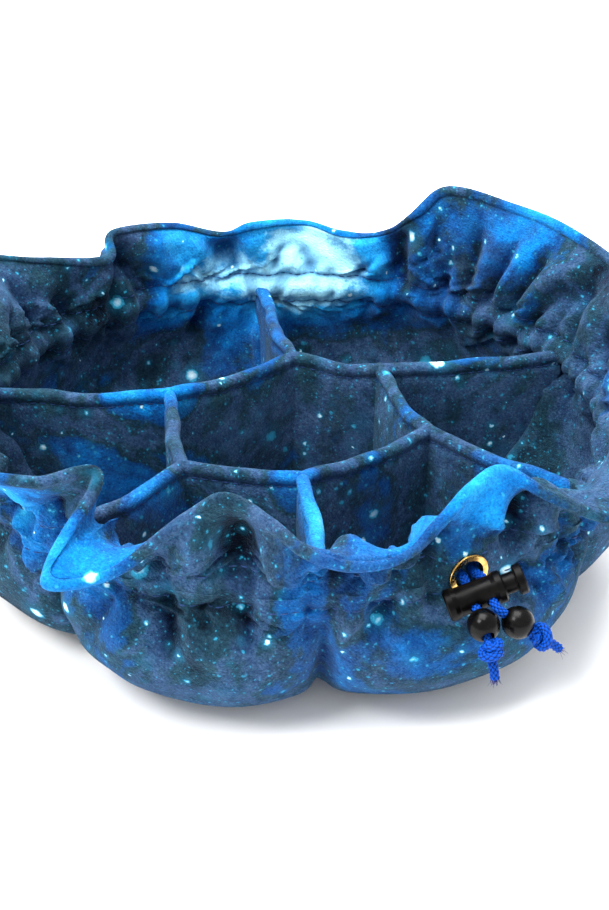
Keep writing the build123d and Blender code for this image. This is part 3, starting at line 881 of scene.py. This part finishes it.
def braid(name, dark, light, shade_gaps=False):
    """Thread or braided cord. On the braided cord, painted shade darkens the gaps between its strands."""
    m = Nodes(name)
    thread = m.noise(2300.0, 3.0, 0.7)
    if shade_gaps:
        # painted shade: the strands' ridge heights darken the gaps between them
        gap_shade_mask = m.add("ShaderNodeAttribute", attribute_name="gap_shade_mask").outputs["Fac"]
        thread = m.plus(m.times(thread, 0.5), m.times(gap_shade_mask, 0.5))
    m.look("Base Color", m.ramp(thread, [(0.28, dark), (0.64, light)]))
    m.look("Normal", m.bump(m.noise(2300.0, 3.0, 0.7), 0.0002, 0.6))
    m.look("Roughness", 0.48)
    s = m.shader.inputs
    s["Specular IOR Level"].default_value = 0.06
    s["Sheen Weight"].default_value = 0.03
    s["Sheen Roughness"].default_value = 0.35
    s["Sheen Tint"].default_value = (0.05, 0.4, 1.0, 1)
    return m.material


def steel():
    m = Nodes("spring_steel")
    m.look("Base Color", m.ramp(m.noise(800.0), [(0.3, (0.42, 0.42, 0.43)), (0.7, (0.62, 0.62, 0.63))]))
    m.look("Metallic", 1.0)
    m.look("Roughness", 0.3)
    return m.material


def paint(obj, material):
    if obj.material_slots:
        for place in obj.material_slots:
            place.material = material
    else:
        obj.data.materials.append(material)


# ---------- cords
# Each tail's bends, from the eyelet's face to the cut end.
TAIL_LEFT = [
    (44.70, -91.92, 49.00), (45.16, -93.17, 48.24), (49.95, -112.38, 42.93), (51.18, -115.76, 34.03),
]
TAIL_RIGHT = [
    (48.09, -90.20, 49.00), (49.45, -92.52, 49.76), (50.10, -95.14, 49.04), (51.81, -101.98, 47.15),
    (53.21, -103.53, 46.17), (62.66, -105.20, 40.41), (69.37, -102.76, 33.98),
]


def cord_line(points):
    """A cord's smooth line, as points in millimetres."""
    curve = bpy.data.curves.new("line", "CURVE")
    curve.dimensions = "3D"
    spline = curve.splines.new("NURBS")
    spline.points.add(len(points) - 1)
    for spot, p in zip(spline.points, points):
        spot.co = (*[c * MM for c in p], 1)
    spline.order_u = 3
    spline.use_endpoint_u = True
    spline.resolution_u = 24
    holder = bpy.data.objects.new("line", curve)
    mesh = bpy.data.meshes.new_from_object(holder)
    line = np.array([v.co[:] for v in mesh.vertices]) / MM
    bpy.data.objects.remove(holder)
    bpy.data.meshes.remove(mesh)
    return line


def even_line(line, step):
    """Points about step apart along a line, and each one's distance from its start."""
    gaps = np.linalg.norm(np.diff(line, axis=0), axis=1)
    where = np.concatenate([[0], np.cumsum(gaps)])
    count = max(3, int(round(where[-1] / step)) + 1)
    at = np.linspace(0, where[-1], count)
    return np.column_stack([np.interp(at, where, line[:, k]) for k in range(3)]), at


def travelling_frames(line):
    """Two unit vectors across the line at each point, turning as little as possible."""
    tangents = np.gradient(line, axis=0)
    tangents /= np.linalg.norm(tangents, axis=1, keepdims=True)
    a = straight(np.cross(tangents[0], [0, 0, 1.0]))
    firsts, seconds = [], []
    for t in tangents:
        a = straight(a - t * float(a @ t))
        firsts.append(a)
        seconds.append(np.cross(t, a))
    return np.array(firsts), np.array(seconds)


BRAID_RIDGES = 6  # ridges round the cord in each of its two directions
BRAID_TURN = 0.74  # radians of twist to a millimetre


def braided_tube(name, line, radius):
    """A tube with the crossing ridges of a braid; the ridge heights are kept for painted shade in the gaps.
    """
    line, at = even_line(line, 0.11)
    first, second = travelling_frames(line)
    around = np.linspace(0, 2 * np.pi, 48, endpoint=False)
    rings, shades = [], []
    for k in range(len(line)):
        one = BRAID_RIDGES / 2 * (around + BRAID_TURN * at[k])
        two = BRAID_RIDGES / 2 * (around - BRAID_TURN * at[k])
        lump = np.sqrt(np.abs(np.sin(one) * np.sin(two)))
        size = radius * (0.70 + 0.32 * lump)
        shades.append(lump)
        rings.append(line[k] + (first[k] * np.cos(around)[:, None]
                                + second[k] * np.sin(around)[:, None]) * size[:, None])
    return closed_from_rings(name, rings, values=shades, attribute="gap_shade_mask")


KNOT_SHIFT = 2.0  # from the last bend to the knot's middle
KNOT_TURNS = 1.75
KNOT_R = 2.35
KNOT_LONG = 4.2
KNOT_CORD_R = 1.25  # the cord is drawn a little thinner in the knot
FRAY_THREADS = 46
FRAY_REACH = 2.2


def knot_line(middle, way, hand):
    """An overhand knot drawn tight: the cord wraps round itself."""
    line = []
    base = straight(np.cross(way, [0.2, 0.1, 1.0]))
    other = np.cross(way, base)
    count = 90
    for k in range(count + 1):
        u = k / count
        a = 2 * math.pi * KNOT_TURNS * u * hand + 0.6
        out = KNOT_R * math.sin(math.pi * min(1.0, max(0.0, u * 1.04 - 0.02))) ** 0.35
        rise = KNOT_LONG * (u + 0.17 * math.sin(4 * math.pi * u + 0.5) - 0.5)
        line.append(middle + way * rise + (base * math.cos(a) + other * math.sin(a)) * out)
    return np.array(line)


def frayed_end(name, tip, way, count, reach):
    """Loose threads at the cord's cut end."""
    verts, faces = [], []
    base = straight(np.cross(way, [0.3, 1.0, 0.2]))
    other = np.cross(way, base)
    for _ in range(count):
        a, spread = RNG.uniform(0, 6.28), RNG.uniform(0.1, 1.0)
        length = reach * RNG.uniform(0.45, 1.0)
        root = tip - way * 0.6 + (base * math.cos(a) + other * math.sin(a)) * spread * 0.95
        lean = (base * math.cos(a) + other * math.sin(a)) * spread * RNG.uniform(0.2, 0.75)
        curl = np.array([RNG.uniform(-1, 1), RNG.uniform(-1, 1), -0.6]) * 0.35
        thick = RNG.uniform(0.05, 0.09)
        steps = 6
        faces += tube_faces(len(verts), steps + 1, 4)
        for k in range(steps + 1):
            u = k / steps
            centre = root + way * length * u + lean * length * u * u + curl * length * u ** 3
            for j in range(4):
                b = j * math.pi / 2
                fat = thick * (1 - 0.6 * u)
                verts.append(centre + (base * math.cos(b) + other * math.sin(b)) * fat)
    return mesh_object(name, verts, faces)


def make_tail(side, points, material, fray_material):
    hand = -1 if side == "left" else 1
    line = cord_line(points)
    tail = braided_tube(f"cord_tail_{side}", line, CORD_D / 2)
    last, end = np.array(points[-2]), np.array(points[-1])
    way = straight(end - last)
    knot = braided_tube(f"cord_knot_{side}", knot_line(last + way * KNOT_SHIFT, way, hand), KNOT_CORD_R)
    fray = frayed_end(f"cord_fray_{side}", line[-1], way, FRAY_THREADS, FRAY_REACH)
    paint(tail, material)
    paint(knot, material)
    paint(fray, fray_material)
    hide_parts(f"drawstring_tail_{side}")
    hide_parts(f"knot_{side}")


# ---------- put together
shell, lining, channel_lines = make_bowl()
walls = make_pocket_walls()

# Glows in the print: place, radius, and how much lighter.
outside = starry_velvet("starry_velvet_outside", 0.0, [
    ((88, 60, 84), 34, 0.22), ((-60, -100, 60), 28, 0.24), ((-75, -65, 62), 36, 0.26),
    ((6, -104, 14), 20, 0.18), ((50, -90, 76), 28, 0.30), ((-14, 100, 72), 44, 0.20),
])
inside = starry_velvet("starry_velvet_inside", 0.0, [
    ((14, 98, 58), 30, 0.42), ((-6, 100, 52), 26, 0.22), ((-24, 100, 64), 46, 0.24),
    ((-46, 98, 58), 30, 0.24), ((-55, -92, 60), 40, 0.22), ((45, -85, 66), 32, 0.26),
    ((80, 62, 74), 30, 0.16),
])
wall_cloth = starry_velvet("starry_velvet_pockets", 0.03, [
    ((-20, 44, 52), 26, 0.32), ((0, -46, 50), 22, 0.16), ((-44, 10, 50), 26, 0.22), ((48, 6, 50), 24, 0.18),
    ((10, -66, 50), 20, 0.20), ((-40, -55, 52), 22, 0.16),
])
paint(shell, outside)
paint(lining, inside)
for wall in walls:
    paint(wall, wall_cloth)

thread = braid("seam_thread", (0.01, 0.02, 0.07), (0.03, 0.07, 0.20))
for name, (outer_line, inner_line, normal) in channel_lines.items():
    for face, line, way in (("outside", outer_line, normal), ("inside", inner_line, -normal)):
        row = stitch_line(f"stitches_{name}_{face}", line, way, CHANNEL_STITCH)
        paint(row, thread)
for row in hem_stitches:
    paint(row, thread)

nodes = frame["nodes"]
# the braided cord, with painted shade in the gaps between its strands
blue_cord = braid("blue_braided_cord", (0.0003, 0.001, 0.012), (0.001, 0.052, 0.34), shade_gaps=True)
hidden_cord = braid("blue_cord_in_channel", (0.0005, 0.002, 0.03), (0.001, 0.040, 0.26))
fray_threads = braid("frayed_threads", (0.004, 0.006, 0.06), (0.025, 0.022, 0.16))
gloss_black = black_plastic("black_moulded_plastic", 0.28, 0.07)
bead_black = black_plastic("black_bead", 0.20, 0.11)
paint(nodes["drawstring_run"], hidden_cord)
for name in ("eyelet", "eyelet_washer"):
    paint(nodes[name], brass())
for name in ("lock_body", "lock_plunger"):
    paint(nodes[name], gloss_black)
for name in ("bead_left", "bead_right"):
    paint(nodes[name], bead_black)

spring = new_object("lock_spring_coil", nodes["lock_spring"].data.copy())
paint(spring, steel())
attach(spring, "cord_lock")
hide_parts("lock_spring")
press = next(j for j in frame["joints"] if j["name"] == "plunger_press")
inwards = np.array(press["axis"], float)
coil = np.array([v.co[:] for v in spring.data.vertices])
depth = coil @ inwards
tuple(coil[int(depth.argmax())])
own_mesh(spring)
make_tail("left", TAIL_LEFT, blue_cord, fray_threads)
make_tail("right", TAIL_RIGHT, blue_cord, fray_threads)


# ---------- floor, light and camera
def studio_white():
    m = Nodes("studio_white")
    white = (0.97, 0.97, 0.97)
    m.look("Base Color", m.ramp(m.noise(3.0), [(0.3, white), (0.7, tuple(c * 0.995 for c in white))]))
    m.look("Roughness", 0.6)
    return m.material


FLOOR_HALF = 4.0  # metres
floor = bpy.data.meshes.new("studio_floor")
floor.from_pydata([(x * FLOOR_HALF, y * FLOOR_HALF, 0) for x, y in ((-1, -1), (1, -1), (1, 1), (-1, 1))],
                  [], [(0, 1, 2, 3)])
floor.materials.append(studio_white())
new_object("studio_floor", floor)


def area_light(name, place, aim, size, power):
    """A square light, in metres and watts."""
    data = bpy.data.lights.new(name, "AREA")
    data.size = size
    data.energy = power
    obj = new_object(name, data)
    obj.location = place
    obj.rotation_euler = (Vector(aim) - Vector(place)).to_track_quat("-Z", "Y").to_euler()


area_light("overhead", (-0.2, 0.15, 1.8), (0, 0.05, 0), 1.3, 78.0)
area_light("key", (-0.75, -0.55, 1.15), (0, 0, 0.04), 0.5, 17.0)
area_light("back", (0.3, 1.2, 0.8), (0, 0, 0.05), 0.8, 11.0)

world = bpy.data.worlds.new("studio")
world.use_nodes = True
background = world.node_tree.nodes["Background"].inputs
background["Color"].default_value = (1.0, 1.0, 1.0, 1)
background["Strength"].default_value = 1.3
scene = bpy.context.scene
scene.world = world
scene.view_settings.view_transform = "Standard"

LENS = 63.2967  # focal length and sensor in millimetres
SENSOR = 36.0
LENS_SHIFT_X = 0.0126374  # as shares of the picture's longer side
LENS_SHIFT_Y = -0.0505495
ELEVATION = 28.0
DISTANCE = 0.500
LOOK_AT = Vector((0.0, 0.0, 0.050))

camera_data = bpy.data.cameras.new("camera")
camera_data.sensor_width = SENSOR
camera_data.lens = LENS
camera_data.clip_start = 0.01
camera_data.shift_x = LENS_SHIFT_X
camera_data.shift_y = LENS_SHIFT_Y
camera = new_object("camera", camera_data)
tilt = math.radians(ELEVATION)
camera.location = LOOK_AT + Vector((0.0, -math.cos(tilt), math.sin(tilt))) * DISTANCE
camera.rotation_euler = (LOOK_AT - camera.location).to_track_quat("-Z", "Y").to_euler()
scene.camera = camera
